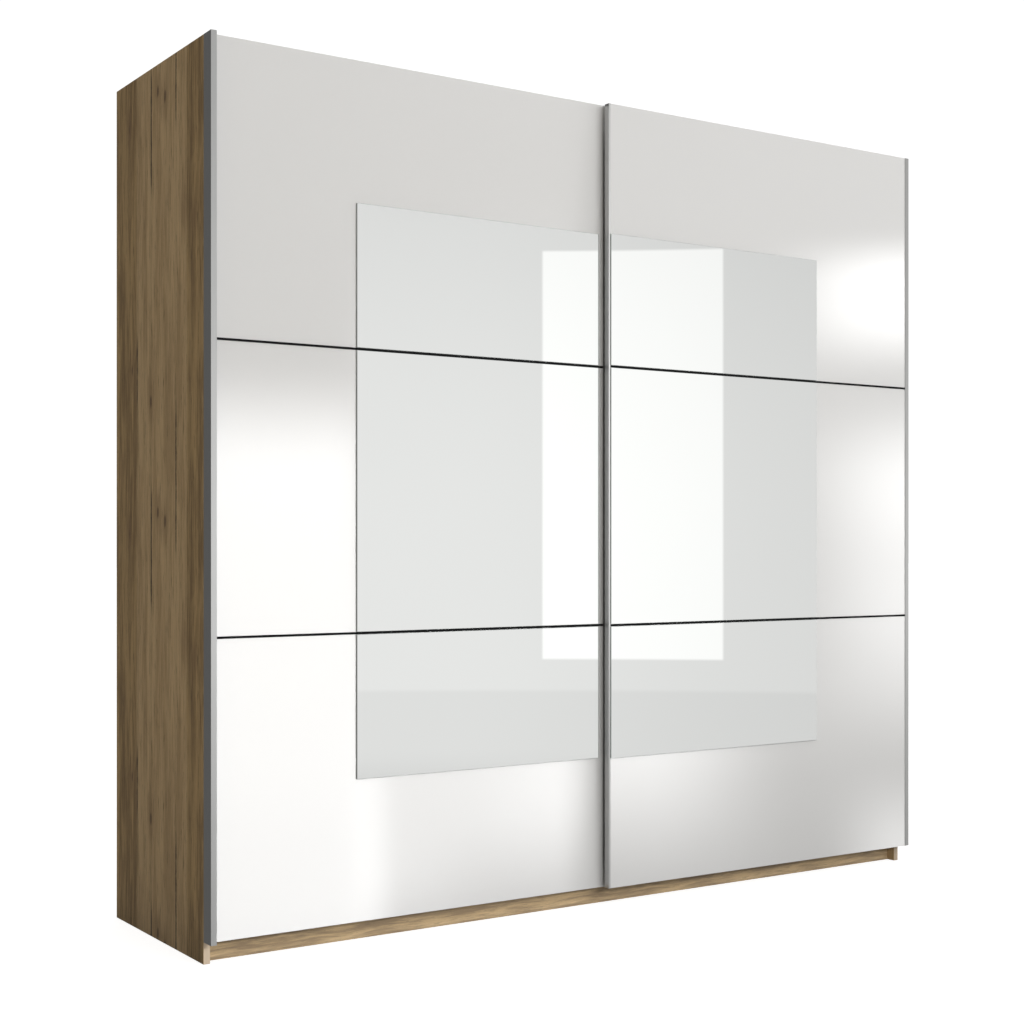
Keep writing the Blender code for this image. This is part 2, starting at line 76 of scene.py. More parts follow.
# ---- node trees ----
class Graph:
    """A node tree with short ways to add its nodes. A value may be a number, a colour or a socket."""

    def __init__(self, owner):
        owner.use_nodes = True
        self.tree = owner.node_tree
        self.tree.nodes.clear()

    def put(self, socket, value):
        if isinstance(value, bpy.types.NodeSocket):
            self.tree.links.new(value, socket)
        else:
            socket.default_value = value

    def add(self, kind, inputs=None, **settings):
        node = self.tree.nodes.new("ShaderNode" + kind)
        for name, value in settings.items():
            setattr(node, name, value)
        for name, value in (inputs or {}).items():
            self.put(node.inputs[name], value)
        return node

    def maths(self, operation, *values):
        inputs = dict(enumerate(values))
        return self.add("Math", inputs, operation=operation).outputs[0]

    def ease(self, value, low, high, start=0.0, end=1.0):
        """start below low, end above high, and a smooth step between."""
        inputs = {0: value, 1: low, 2: high, 3: start, 4: end}
        return self.add("MapRange", inputs, interpolation_type="SMOOTHSTEP").outputs[0]

    def span(self, value, low, high, soft):
        """1 between low and high, 0 outside, with soft edges."""
        rise = self.ease(value, low - soft / 2, low + soft / 2)
        fall = self.ease(value, high - soft / 2, high + soft / 2, 1.0, 0.0)
        return self.maths("MULTIPLY", rise, fall)

    def mix(self, share, a, b):
        inputs = {0: share, 6: a, 7: b}
        return self.add("Mix", inputs, data_type="RGBA").outputs[2]

    def vector(self, x, y, z):
        return self.add("CombineXYZ", {0: x, 1: y, 2: z}).outputs[0]

    def split(self, vector):
        return self.add("SeparateXYZ", {0: vector}).outputs

    def noise(self, vector, scale=1.0, detail=2.0, roughness=0.5):
        inputs = {"Vector": vector, "Scale": scale, "Detail": detail, "Roughness": roughness}
        return self.add("TexNoise", inputs).outputs[0]

    def around(self, value, amount):
        """A 0 to 1 value turned into a factor from 1 - amount to 1 + amount."""
        return self.maths("MULTIPLY_ADD", value, 2.0 * amount, 1.0 - amount)

    def scaled(self, colour, *factors):
        for factor in factors:
            colour = self.add("VectorMath", {0: colour, 3: factor}, operation="SCALE").outputs[0]
        return colour

    def stretched(self, vector, scale):
        return self.add("Mapping", {"Vector": vector, "Scale": scale}).outputs[0]

    def bump(self, height, distance, strength):
        inputs = {"Height": height, "Distance": distance, "Strength": strength}
        return self.add("Bump", inputs).outputs[0]

    def place(self):
        return self.add("TexCoord").outputs["Object"]

    def surface(self, **inputs):
        named = {name.replace("_", " "): value for name, value in inputs.items()}
        shader = self.add("BsdfPrincipled", named)
        self.tree.links.new(shader.outputs[0], self.add("OutputMaterial").inputs[0])
        return shader


def material(name):
    made = bpy.data.materials.new(name)
    return made, Graph(made)


def rgb(red, green, blue):
    return (red, green, blue, 1.0)


# ---- oak decor ----
PRINT_LENGTH = 1.0       # the decor print repeats along the grain
PRINT_WIDTH = 0.62       # its bands and splits repeat across it
HEART_BANDS = ((0.0, 0.098), (0.415, 0.620))     # of redder heartwood, across the grain
STAVE_WIDTH = 0.088      # of a usual stave
KNOT_CELL = (0.080, 0.20)                        # across and along the grain, each with one knot or none
# of each split: its place across the grain, its start and end along it, and half its greatest width
SPLITS = ((0.162, -0.12, 0.30, 0.0030), (0.318, -0.24, 0.10, 0.0034), (0.412, 0.26, 0.45, 0.0024))

# the darker and the lighter tone of each kind of wood
CLEAR_WOOD = (rgb(0.490, 0.337, 0.174), rgb(0.680, 0.492, 0.272))
HEARTWOOD = (rgb(0.225, 0.139, 0.058), rgb(0.510, 0.346, 0.160))
KNOT_SURROUND = rgb(0.270, 0.165, 0.084)
KNOT_HEART = rgb(0.080, 0.048, 0.028)
SPLIT_DARK = rgb(0.026, 0.018, 0.012)
# painted light: the pale tone laid over the plinth's oak, where the front light falls on it
PAINTED_LIGHT_TONE = rgb(0.66, 0.60, 0.50)
EDGE_BAND = (0.72, 0.59, 0.45)


class Grain:
    """Places on an oak board: s across the grain and t along it, on the axes given as 0, 1 or 2.

    The print is wound round a circle of its own length, so that it repeats along the grain without a
    seam. edge is where s starts, on the axes across and through. size is that of the grain."""

    def __init__(self, g, along, across, through, turn, edge, size):
        self.g = g
        self.size = size
        axes = g.split(g.place())
        wide = g.maths("SUBTRACT", axes[across], edge[0])
        deep = g.maths("SUBTRACT", axes[through], edge[1])
        self.s = g.maths("ADD", wide, g.maths("MULTIPLY", deep, 0.9))
        self.t = g.maths("ADD", axes[along], turn)
        angle = g.maths("MULTIPLY", self.t, 2 * math.pi / PRINT_LENGTH)
        radius = PRINT_LENGTH / (2 * math.pi)
        self.ring = [g.maths("MULTIPLY", g.maths(wave, angle), radius) for wave in ("COSINE", "SINE")]
        self.wander = g.maths("MULTIPLY_ADD", self.noise(0.20, 0.22, 1.0), 0.016 * size, -0.008 * size)
        self.bent = g.maths("ADD", self.s, self.wander)

    def noise(self, width, length, detail=2.0, roughness=0.5, at=None):
        """Noise whose features are about this wide across the grain and this long along it."""
        g = self.g
        across_it = g.maths("MULTIPLY", at or self.s, 1.0 / (width * self.size))
        rings = [g.maths("MULTIPLY", side, 1.0 / (length * self.size)) for side in self.ring]
        return g.noise(g.vector(across_it, *rings), 1.0, detail, roughness)

    def bent_noise(self, width, length, detail=2.0, roughness=0.5):
        """The same, following the wander of the grain."""
        return self.noise(width, length, detail, roughness, self.bent)


def heartwood_share(grain):
    """1 in the heartwood's bands, 0 in the clear wood, with soft edges."""
    g = grain.g
    place = g.maths("WRAP", g.maths("MULTIPLY_ADD", grain.wander, 0.8, grain.s), PRINT_WIDTH, 0.0)
    share = 0.0
    for low, high in HEART_BANDS:
        share = g.maths("ADD", share, g.span(place, low, high, 0.018))
    return share


def wood_tone(grain, heartwood, streaks):
    """Clear wood and heartwood, each drifting between its darker and its lighter tone."""
    g = grain.g
    drift = grain.bent_noise(0.030, 0.30)
    tones = []
    for colours, part in ((CLEAR_WOOD, 0.45), (HEARTWOOD, 0.50)):
        mixed = g.maths("MULTIPLY_ADD", drift, part, g.maths("MULTIPLY", streaks, 1.0 - part))
        tones.append(g.mix(g.ease(mixed, 0.40, 0.60), *colours))
    return g.mix(g.maths("MULTIPLY", heartwood, 0.88), *tones)


def with_staves(grain, tone):
    """Staves, each a little lighter or darker, with a thin dark line here and there between them."""
    g = grain.g
    at = g.maths("MULTIPLY", g.maths("MULTIPLY_ADD", grain.wander, 0.15, grain.s), 1 / STAVE_WIDTH)
    cells = {"W": at, "Randomness": 0.75}
    stave = g.add("TexVoronoi", cells, voronoi_dimensions="1D")
    joint = g.add("TexVoronoi", cells, voronoi_dimensions="1D", feature="DISTANCE_TO_EDGE")
    tone = g.scaled(tone, g.around(g.split(stave.outputs["Color"])[0], 0.05))
    line = g.ease(joint.outputs["Distance"], 0.0, 0.035, 1.0, 0.0)
    seam = g.maths("MULTIPLY", line, g.ease(grain.noise(0.25, 0.16), 0.42, 0.62))
    return g.scaled(tone, g.maths("MULTIPLY_ADD", seam, -0.28, 1.0))


def with_knots(grain, tone, heartwood, streaks):
    """Small knots, longer along the grain than across it, each with a darker, redder surround."""
    g = grain.g
    across_it = g.maths("MULTIPLY", grain.bent, 1 / KNOT_CELL[0])
    rings = [g.maths("MULTIPLY", side, 1 / KNOT_CELL[1]) for side in grain.ring]
    cells = {"Vector": g.vector(across_it, *rings), "Scale": 1.0, "Randomness": 1.0}
    knots = g.add("TexVoronoi", cells)
    chance = g.maths("MULTIPLY_ADD", heartwood, 0.30, g.split(knots.outputs["Color"])[1])
    chosen = g.ease(chance, 0.74, 0.76)
    distance = g.maths("MULTIPLY", knots.outputs["Distance"], g.around(streaks, 0.6))
    surround = g.maths("MULTIPLY", g.ease(distance, 0.06, 0.40, 1.0, 0.0), chosen)
    heart = g.maths("MULTIPLY", g.ease(distance, 0.045, 0.105, 1.0, 0.0), chosen)
    tone = g.mix(g.maths("MULTIPLY", surround, 0.45), tone, KNOT_SURROUND)
    return g.mix(g.maths("MULTIPLY", heart, 0.70), tone, KNOT_HEART)


def with_splits(grain, tone, splits):
    """Dark splits along the grain, tapering to both ends."""
    g = grain.g
    half_length = PRINT_LENGTH / 2
    half_width = PRINT_WIDTH / 2
    shiver = g.maths("MULTIPLY_ADD", grain.noise(0.5, 0.045, 2.0, 0.6), 0.0050, -0.0025)
    dark = 0.0
    for number, (at, start, end, widest) in enumerate(splits):
        reach = (end - start) / 2
        offset = g.maths("WRAP", g.maths("SUBTRACT", grain.t, (start + end) / 2), half_length, -half_length)
        taper = g.ease(g.maths("ABSOLUTE", offset), reach * 0.6, reach, widest, 0.0)
        ragged = g.around(grain.noise(0.4 + number, 0.020, 2.0, 0.6), 0.7)
        aside = g.maths("WRAP", g.maths("SUBTRACT", grain.s, at), half_width, -half_width)
        away = g.maths("ABSOLUTE", g.maths("ADD", aside, shiver))
        inside = g.maths("SUBTRACT", g.maths("MULTIPLY", taper, ragged), away)
        dark = g.maths("MAXIMUM", dark, g.ease(inside, -0.0006, 0.0004))
    return g.mix(g.maths("MULTIPLY", dark, 0.94), tone, SPLIT_DARK)


def with_edge_band(g, tone, brightness, fibres, streaks):
    """A paler, plainer band glued to the front edge."""
    forward = g.split(g.add("TexCoord").outputs["Normal"])[1]
    band = g.scaled(EDGE_BAND, brightness, g.around(fibres, 0.10), g.around(streaks, 0.15))
    return g.mix(g.ease(forward, -0.95, -0.85, 0.85, 0.0), tone, band)


def oak(name, along, across, through, turn=0.0, edge=(FRONT, -HALF_WIDTH), pale=1.0, edge_band=0.58,
        size=1.0, painted_light_share=0.0, splits=()):
    """Oak decor on board: staves, fibres, small knots and splits. The places are as in Grain.

    turn shifts the print along the grain, pale scales its tone, painted_light_share is the share of a flat
    pale tone laid over it, painted light where the board is lit, and edge_band is the brightness of the
    band on the front edge, or 0 for none."""
    made, g = material(name)
    grain = Grain(g, along, across, through, turn, edge, size)
    streaks = grain.bent_noise(0.0060, 0.12, 4.0, 0.70)
    flecks = g.ease(grain.bent_noise(0.0050, 0.060, 3.0, 0.65), 0.57, 0.70)
    fibres = grain.bent_noise(0.0017, 0.055, 3.0, 0.65)
    pores = g.ease(grain.bent_noise(0.0008, 0.018), 0.56, 0.70)
    heartwood = heartwood_share(grain)

    tone = g.scaled(wood_tone(grain, heartwood, streaks), pale)
    tone = with_staves(grain, tone)
    tone = g.scaled(tone, g.maths("MULTIPLY_ADD", flecks, -0.42, 1.0))
    tone = g.scaled(tone, g.around(fibres, 0.25), g.maths("MULTIPLY_ADD", pores, -0.20, 1.0))
    tone = with_knots(grain, tone, heartwood, streaks)
    if splits:
        tone = with_splits(grain, tone, splits)
    # painted light: a flat pale tone over the grain where the board is lit
    if painted_light_share:
        tone = g.mix(painted_light_share, tone, PAINTED_LIGHT_TONE)
    if edge_band:
        tone = with_edge_band(g, tone, edge_band, fibres, streaks)

    relief = g.maths("ADD", g.maths("MULTIPLY", fibres, 0.6), g.maths("MULTIPLY", pores, -1.0))
    roughness = g.maths("MULTIPLY_ADD", fibres, 0.16, 0.46)
    g.surface(Base_Color=tone, Roughness=roughness, Normal=g.bump(relief, 0.00006, 0.7))
    return made


# ---- other finishes ----
MESH_PITCH = 0.0024      # of the mesh pressed into the hardboard


def fibreboard():
    """Raw hardboard: brown, with short fibres in all directions and a faint pressed mesh."""
    made, g = material("fibreboard")
    place = g.place()
    clouds = g.noise(place, 9.0, 3.0)
    fibres = g.noise(g.stretched(place, (900, 900, 240)), 1.0, 4.0, 0.7)
    flecks = g.ease(g.noise(place, 420.0, 2.0, 0.6), 0.62, 0.74)
    x, _, z = g.split(place)
    waves = [g.maths("SINE", g.maths("MULTIPLY", axis, 2 * math.pi / MESH_PITCH)) for axis in (x, z)]
    mesh = g.maths("MULTIPLY", *waves)
    tone = g.scaled((0.300, 0.185, 0.098), g.around(clouds, 0.12), g.around(fibres, 0.22))
    tone = g.mix(g.maths("MULTIPLY", flecks, 0.5), tone, rgb(0.13, 0.075, 0.040))
    relief = g.maths("ADD", fibres, g.maths("MULTIPLY", mesh, 0.35))
    roughness = g.maths("MULTIPLY_ADD", clouds, 0.15, 0.72)
    g.surface(Base_Color=tone, Roughness=roughness, Normal=g.bump(relief, 0.0001, 0.8))
    return made


def white_gloss():
    """High-gloss white lacquer film on board, with the faint waviness of a pressed panel."""
    made, g = material("white_gloss")
    place = g.place()
    waves = g.noise(place, 26.0, 2.0, 0.45)
    clouds = g.noise(place, 3.0, 2.0)
    tone = g.scaled((0.800, 0.795, 0.785), g.around(clouds, 0.006))
    roughness = g.maths("MULTIPLY_ADD", waves, 0.03, 0.05)
    normal = g.bump(waves, 0.00010, 0.35)
    g.surface(Base_Color=tone, Roughness=roughness, IOR=1.5, Coat_Weight=1.0, Coat_Roughness=0.03,
              Coat_IOR=1.55, Normal=normal, Coat_Normal=normal)
    return made


def mirror_glass():
    """Silvered glass: a clear reflection on the face, and a polished grey-green edge all round.

    The edge beside the centre profile is painted paler, as painted light against the shade of the narrow
    gap there, so that it shows less as a dark line."""
    made, g = material("mirror_glass")
    facing = g.split(g.add("TexCoord").outputs["Normal"])[1]
    face = g.ease(facing, -0.99, -0.90, 1.0, 0.0)
    place = g.place()
    haze = g.noise(place, 5.0, 3.0, 0.5)
    ripple = g.noise(place, 7.0, 1.0, 0.4)
    # painted light: the glass edge near x = 0 is made up to 2.3 times paler, against the shade of the
    # narrow gap beside the centre profile
    painted_light_beside_profile = g.span(g.split(place)[0], -0.004, 0.010, 0.002)
    edge = g.scaled((0.36, 0.40, 0.39), g.around(g.noise(place, 300.0, 2.0), 0.15),
                    g.maths("MULTIPLY_ADD", painted_light_beside_profile, 1.3, 1.0))
    silver = g.scaled((0.915, 0.925, 0.918), g.around(haze, 0.004))
    roughness = g.maths("MULTIPLY_ADD", face, -0.12, 0.12)
    g.surface(Base_Color=g.mix(face, edge, silver), Metallic=face, Roughness=roughness, IOR=1.52,
              Normal=g.bump(ripple, 0.00002, 0.25))
    return made


ACROSS_LINES = 2600.0    # noise scale of drawn metal across its lines
ALONG_LINES = 9.0        # and along them


def drawn_metal(name, colour, roughness, lines_along, metallic=1.0, contrast=0.10, **more):
    """Anodised or brushed metal whose fine lines run along one axis."""
    made, g = material(name)
    place = g.place()
    stretch = [ACROSS_LINES] * 3
    stretch[lines_along] = ALONG_LINES
    lines = g.noise(g.stretched(place, stretch), 1.0, 3.0, 0.6)
    clouds = g.noise(place, 14.0, 3.0, 0.5)
    tone = g.scaled(colour, g.around(lines, contrast), g.around(clouds, 0.03))
    rough = g.maths("MULTIPLY_ADD", lines, 0.14, roughness - 0.07)
    normal = g.bump(lines, 0.00002, 0.5)
    g.surface(Base_Color=tone, Metallic=metallic, Roughness=rough, Normal=normal, **more)
    return made


def zinc_steel():
    """Bright zinc plate on pressed steel: cool, with soft passivation clouds and fine scratches."""
    made, g = material("zinc_plated_steel")
    place = g.place()
    clouds = g.noise(place, 60.0, 3.0, 0.6)
    grain = g.noise(g.stretched(place, (500, 900, 2200)), 1.0, 3.0, 0.6)
    tone = g.mix(g.ease(clouds, 0.35, 0.70), rgb(0.60, 0.615, 0.63), rgb(0.68, 0.665, 0.60))
    tone = g.scaled(tone, g.around(grain, 0.08))
    roughness = g.maths("MULTIPLY_ADD", clouds, 0.22, 0.20)
    g.surface(Base_Color=tone, Metallic=1.0, Roughness=roughness, Normal=g.bump(grain, 0.00003, 0.5))
    return made


def chrome():
    """Polished chrome with faint smears along the tube."""
    made, g = material("chromed_steel")
    place = g.place()
    smears = g.noise(g.stretched(place, (8, 120, 120)), 1.0, 3.0, 0.6)
    tone = g.scaled((0.78, 0.79, 0.80), g.around(smears, 0.03))
    roughness = g.maths("MULTIPLY_ADD", smears, 0.10, 0.06)
    g.surface(Base_Color=tone, Metallic=1.0, Roughness=roughness, Normal=g.bump(smears, 0.00001, 0.4))
    return made


def moulded(name, colour, roughness, grain_size, translucent=0.0):
    """Moulded plastic: a fine spark-eroded grain, with slightly uneven colour."""
    made, g = material(name)
    place = g.place()
    spots = g.add("TexVoronoi", {"Vector": place, "Scale": 1.0 / grain_size}).outputs["Distance"]
    clouds = g.noise(place, 90.0, 3.0, 0.5)
    tone = g.scaled(colour, g.around(clouds, 0.06))
    rough = g.maths("MULTIPLY_ADD", clouds, 0.12, roughness - 0.06)
    g.surface(Base_Color=tone, Roughness=rough, Subsurface_Weight=translucent,
              Subsurface_Radius=(0.002, 0.002, 0.0018), Subsurface_Scale=1.0,
              Normal=g.bump(spots, 0.00004, 0.5))
    return made


def brush_fibre():
    """Dark bristles, each a slightly different grey."""
    made, g = material("brush_fibre")
    tint = g.noise(g.stretched(g.place(), (1200, 30, 1200)), 1.0, 2.0)
    tone = g.mix(tint, rgb(0.040, 0.040, 0.040), rgb(0.160, 0.158, 0.154))
    g.surface(Base_Color=tone, Roughness=g.maths("MULTIPLY_ADD", tint, 0.2, 0.45), Sheen_Weight=0.2)
    return made


# painted light: the left upright's front edge band is set to 1.0, against 0.58 on the other boards, for the
# light falling on its front edge and foot
OAK_LEFT_PAINTED_EDGE_LIGHT = oak("oak_upright_left_painted_edge_light", 2, 1, 0, edge_band=1.0, splits=SPLITS)
OAK_UPRIGHT = oak("oak_upright", 2, 1, 0, turn=0.43, splits=SPLITS)
OAK_LEVEL = oak("oak_level", 0, 1, 2, turn=0.31)
# painted light: the plinth's oak is made paler (pale 1.08), with a pale tone laid over it, for the front
# light on it
OAK_PLINTH_PAINTED_LIGHT = oak("oak_plinth_painted_light", 0, 2, 1, turn=0.55, edge=(-0.20, 0.0), pale=1.08, edge_band=0.0, size=0.55,
                 painted_light_share=0.16)
OAK_DEEP = oak("oak_deep", 1, 0, 2, turn=0.13, edge=(-0.2, 0.0), edge_band=0.0)
FIBREBOARD = fibreboard()
WHITE = white_gloss()
MIRROR = mirror_glass()
ALUMINIUM = drawn_metal("satin_aluminium_upright", (0.52, 0.52, 0.515), 0.36, 2)
ALUMINIUM_LEVEL = drawn_metal("satin_aluminium_level", (0.60, 0.60, 0.595), 0.34, 0)
BLACK = drawn_metal("black_aluminium", (0.008, 0.008, 0.009), 0.44, 0, metallic=0.0, contrast=0.25,
                    Specular_IOR_Level=0.12)
ZINC = zinc_steel()
CHROME = chrome()
NYLON = moulded("nylon", (0.76, 0.755, 0.73), 0.42, 0.0006, 0.15)
BLACK_PLASTIC = moulded("black_plastic", (0.018, 0.018, 0.019), 0.50, 0.0005)
BEIGE_PLASTIC = moulded("beige_plastic", (0.50, 0.38, 0.24), 0.48, 0.0005)
BRUSH = brush_fibre()


# ---- CAD nodes that keep their shape ----
def paint(look, *nodes):
    for node in nodes:
        for slot in NODES[node].material_slots:
            slot.material = look


def paint_boards():
    paint(OAK_LEFT_PAINTED_EDGE_LIGHT, "side_panel_left")
    paint(OAK_UPRIGHT, "side_panel_right", "centre_partition")
    paint(OAK_LEVEL, "bottom_panel", *CAPPED_BOARDS)
    paint(OAK_PLINTH_PAINTED_LIGHT, "plinth_front", "plinth_rear")
    paint(OAK_DEEP, "plinth_centre")
    paint(FIBREBOARD, "back_panel_left", "back_panel_right")
    for door in DOORS:
        for row in ROWS:
            paint(WHITE, f"{door}_panel_{row}")
            paint(MIRROR, f"{door}_mirror_{row}")


# ---- pieces ----
WELD = 0.000002                  # points nearer than this are one
CREASE = math.radians(28.0)      # a sharper turn than this between two faces is rounded


def show(name, mesh, look, body):
    """A new piece in the CAD frame that rides on a body."""
    mesh.materials.clear()
    mesh.materials.append(look)
    made = bpy.data.objects.new(name, mesh)
    bpy.context.scene.collection.objects.link(made)
    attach(made, body)
    return made


def finer(node, edge, look):
    """Shows a CAD node by a copy of its shape whose creases are rounded and whose curves are smooth."""
    shape = bmesh.new()
    shape.from_mesh(NODES[node].data)
    bmesh.ops.remove_doubles(shape, verts=shape.verts, dist=WELD)
    bmesh.ops.dissolve_limit(shape, angle_limit=math.radians(0.6), verts=shape.verts, edges=shape.edges)
    inner_edges = [e for e in shape.edges if len(e.link_faces) == 2]
    sharp = [e for e in inner_edges if e.calc_face_angle(0.0) > CREASE]
    bmesh.ops.bevel(shape, geom=sharp, offset=edge, segments=2, profile=0.5, affect="EDGES",
                    clamp_overlap=True)
    mesh = bpy.data.meshes.new(f"{node}_fine")
    shape.to_mesh(mesh)
    shape.free()
    mesh.shade_smooth()
    made = show(f"{node}_fine", mesh, look, BODY_OF[node])
    weighted = made.modifiers.new("flat_faces_stay_flat", "WEIGHTED_NORMAL")
    weighted.weight = 80
    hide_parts(node)


def show_profiles():
    for door in DOORS:
        finer(f"{door}_handle_profile", 0.00035, ALUMINIUM)
        finer(f"{door}_edge_profile", 0.00020, ALUMINIUM)
        for row in ("lower", "upper"):
            finer(f"{door}_strip_{row}", 0.00025, BLACK)
    finer("running_rail", 0.00025, ALUMINIUM_LEVEL)
    finer("guide_rail", 0.00025, ALUMINIUM_LEVEL)


def show_fittings():
    for door in DOORS:
        for end in ENDS:
            finer(f"{door}_hanger_{end}", 0.00030, ZINC)
            finer(f"{door}_guide_{end}", 0.00025, ZINC)
            finer(f"{door}_wheel_{end}", 0.00018, NYLON)
            finer(f"{door}_guide_pin_{end}", 0.00015, NYLON)
    for side in SIDES:
        finer(f"rail_stop_{side}", 0.0008, BLACK_PLASTIC)
        finer(f"wall_bracket_{side}", 0.00030, ZINC)
    finer("clothes_rail", 0.00020, CHROME)
    for end in ENDS:
        finer(f"rail_socket_{end}", 0.00030, CHROME)


# ---- screws, nails and caps ----
HANGER_SCREWS = ((-0.008, 0.010), (0.008, 0.010), (0.0, 0.028))  # aside of the middle, above the low edge
HANGER_PLATE = 0.0023            # from a panel's back to the hanger's face, where the heads stand
GUIDE_SCREWS = (-0.011, 0.011)   # aside of the bracket's middle
GUIDE_SCREW_DROP = 0.009         # below the bracket's top edge
GUIDE_PLATE = 0.0019             # from a panel's back to the guide bracket's face
RAIL_SCREWS = 8
RAIL_SCREW_DEPTH = 0.017         # behind the rail's front edge, between its ribs
RAIL_PLATE = 0.0022              # thickness of the rail's base
BRACKET_SCREW_INSET = 0.032      # ahead of the wall bracket's rear edge
BRACKET_PLATE = 0.0020           # thickness of the wall bracket
NAIL_EDGE = 0.008                # from a back panel's edge to its nails
NAIL_SPACING = 0.16              # at least this, up the sides and the seam
NAIL_SEAM = 0.005                # from the seam between the back panels
NAIL_COLUMNS = 13                # spaces between the nails of the upper and lower rows
NAIL_ROW_INSET = 0.09            # of those rows' ends, from the carcass sides
BOTTOM_NAILS_Z = 0.078           # the middle of the bottom panel's rear edge
CAP_SIDE = 0.034                 # cam caps, from a board's ends
CAP_DEPTH = 0.060                # and from its front and rear edges


def turned(profile, steps=28):
    """A bmesh of (radius, height) points turned about Z."""
    shape = bmesh.new()
    line = [shape.verts.new((r, 0.0, h)) for r, h in profile]
    edges = [shape.edges.new(pair) for pair in zip(line, line[1:])]
    bmesh.ops.spin(shape, geom=line + edges, cent=(0, 0, 0), axis=(0, 0, 1), angle=2 * math.pi, steps=steps,
                   use_merge=True)
    bmesh.ops.remove_doubles(shape, verts=shape.verts, dist=WELD)
    bmesh.ops.recalc_face_normals(shape, faces=shape.faces)
    return shape


def cut_cross(mesh, reach, width, depth, top):
    """The mesh with a cross recess cut down from its top."""
    blank = bpy.data.objects.new("blank", mesh)
    bpy.context.scene.collection.objects.link(blank)
    cutters = []
    for turn in (0.0, math.pi / 2):
        shape = bmesh.new()
        bmesh.ops.create_cube(shape, size=1.0)
        bmesh.ops.scale(shape, vec=(2 * reach, width, 2 * depth), verts=shape.verts)
        low = [v for v in shape.verts if v.co.z < 0]
        bmesh.ops.scale(shape, vec=(0.55, 0.8, 1.0), verts=low)
        bmesh.ops.rotate(shape, cent=(0, 0, 0), matrix=Matrix.Rotation(turn, 3, "Z"), verts=shape.verts)
        bmesh.ops.translate(shape, vec=(0, 0, top), verts=shape.verts)
        arm = bpy.data.meshes.new("arm")
        shape.to_mesh(arm)
        shape.free()
        cutter = bpy.data.objects.new("cutter", arm)
        bpy.context.scene.collection.objects.link(cutter)
        step = blank.modifiers.new("cross", "BOOLEAN")
        step.operation = "DIFFERENCE"
        step.object = cutter
        step.solver = "EXACT"
        cutters.append(cutter)
    graph = bpy.context.evaluated_depsgraph_get()
    made = bpy.data.meshes.new_from_object(blank.evaluated_get(graph))
    for old in (blank, *cutters):
        bpy.data.objects.remove(old, do_unlink=True)
    return made


def button_mesh(name, radius, height, recess):
    """A domed head with a cross recess, standing on z = 0."""
    angles = [math.pi / 2 * n / 7 for n in range(7)]
    dome = [(radius * math.cos(a), height * (0.35 + 0.65 * math.sin(a))) for a in angles]
    shape = turned([(0.0, 0.0), (radius * 0.96, 0.0), (radius, height * 0.12)] + dome + [(0.0, height)])
    mesh = bpy.data.meshes.new(name)
    shape.to_mesh(mesh)
    shape.free()
    mesh = cut_cross(mesh, radius * recess, radius * recess * 0.42, height * 0.62, height)
    mesh.name = name
    mesh.shade_smooth()
    mesh.set_sharp_from_angle(angle=math.radians(38))
    return mesh


def fix(name, mesh, at, facing, look, body):
    """Sets a copy of a head mesh on a surface, facing a direction and turned at random."""
    made = show(name, mesh.copy(), look, body)
    turn = Vector(facing).to_track_quat("Z", "Y").to_matrix().to_4x4()
    spin = Matrix.Rotation(random.uniform(0, math.pi / 2), 4, "Z")
    made.data.transform(Matrix.Translation(at) @ turn @ spin)


def add_door_screws(head):
    for door in DOORS:
        for end in ENDS:
            low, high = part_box(f"{door}_hanger_{end}")
            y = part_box(f"{door}_panel_top")[1].y + HANGER_PLATE
            middle = (low.x + high.x) / 2
            for number, (aside, up) in enumerate(HANGER_SCREWS):
                name = f"{door}_hanger_{end}_screw_{number}"
                fix(name, head, (middle + aside, y, low.z + up), (0, 1, 0), ZINC, door)
            low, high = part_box(f"{door}_guide_{end}")
            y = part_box(f"{door}_panel_bottom")[1].y + GUIDE_PLATE
            middle = (low.x + high.x) / 2
            for number, aside in enumerate(GUIDE_SCREWS):
                name = f"{door}_guide_{end}_screw_{number}"
                at = (middle + aside, y, high.z - GUIDE_SCREW_DROP)
                fix(name, head, at, (0, 1, 0), ZINC, door)


def add_rail_screws(head):
    low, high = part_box("running_rail")
    for number in range(RAIL_SCREWS):
        x = low.x + (high.x - low.x) * (number + 0.5) / RAIL_SCREWS
        at = (x, low.y + RAIL_SCREW_DEPTH, low.z + RAIL_PLATE)
        fix(f"running_rail_screw_{number}", head, at, (0, 0, 1), ZINC, "carcass")


def add_bracket_screws(head):
    for side in SIDES:
        low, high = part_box(f"wall_bracket_{side}")
        at = ((low.x + high.x) / 2, high.y - BRACKET_SCREW_INSET, low.z + BRACKET_PLATE)
        fix(f"wall_bracket_{side}_screw", head, at, (0, 0, 1), ZINC, "carcass")


